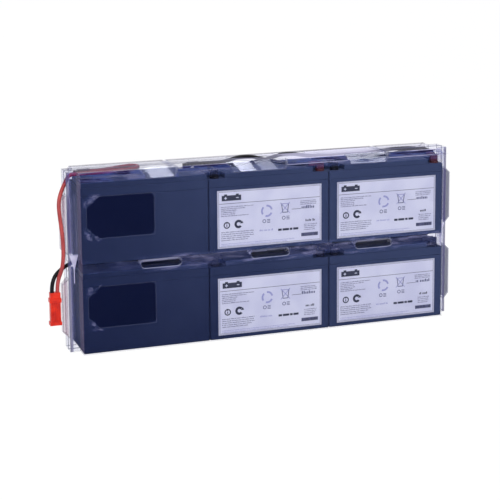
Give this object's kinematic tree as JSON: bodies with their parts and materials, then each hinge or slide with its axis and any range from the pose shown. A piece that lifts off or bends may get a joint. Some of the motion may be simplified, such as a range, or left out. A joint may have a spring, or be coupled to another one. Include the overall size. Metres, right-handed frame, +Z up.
{
  "type": "ups battery cartridge",
  "caption": "Battery cartridge of sealed blocks in two rows, wired in series inside a clear thermoformed shell with a two-wire plug lead.",
  "frame": {"origin": "middle of the shell's footprint, on the surface it stands on", "axes": "+X along the pack away from the lead end, -Y out of the labelled front face, +Z up"},
  "size_m": [0.5108, 0.0676, 0.2137],
  "materials": {
    "battery_case": "fine matte",
    "label": "semi-gloss paper",
    "terminal": "tinned",
    "red_seal": "satin",
    "black_seal": "satin",
    "red_boot": "soft vinyl",
    "black_boot": "soft vinyl",
    "red_wire": "soft insulation",
    "black_wire": "soft insulation",
    "connector": "moulded nylon",
    "clear_film": "clear thermoformed sheet"
  },
  "bodies": {
    "root": {"lower_left_case": "battery_case", "lower_left_lid": "battery_case", "lower_left_vent_cover": "battery_case", "lower_left_label": "label", "lower_middle_case": "battery_case", "lower_middle_lid": "battery_case", "lower_middle_vent_cover": "battery_case", "lower_middle_label": "label", "lower_right_case": "battery_case", "lower_right_lid": "battery_case", "lower_right_vent_cover": "battery_case", "lower_right_label": "label", "lower_terminal_tabs": "terminal", "lower_receptacles": "terminal", "lower_positive_seals": "red_seal", "lower_negative_seals": "black_seal", "lower_positive_boots": "black_boot", "lower_negative_boots": "black_boot", "upper_left_case": "battery_case", "upper_left_lid": "battery_case", "upper_left_vent_cover": "battery_case", "upper_left_label": "label", "upper_middle_case": "battery_case", "upper_middle_lid": "battery_case", "upper_middle_vent_cover": "battery_case", "upper_middle_label": "label", "upper_right_case": "battery_case", "upper_right_lid": "battery_case", "upper_right_vent_cover": "battery_case", "upper_right_label": "label", "upper_terminal_tabs": "terminal", "upper_receptacles": "terminal", "upper_positive_seals": "red_seal", "upper_negative_seals": "black_seal", "upper_positive_boots": "red_boot", "upper_negative_boots": "black_boot", "upper_left_to_middle_link": "black_wire", "upper_middle_to_right_link": "black_wire", "row_link": "black_wire", "lower_right_to_middle_link": "black_wire", "lower_middle_to_left_link": "black_wire", "black_feed": "black_wire", "black_lead": "black_wire", "red_feed": "red_wire", "red_lead": "red_wire", "connector_housing": "connector", "connector_contacts": "terminal", "front_shell": "clear_film", "rear_shell": "clear_film"}
  },
  "joints": []
}
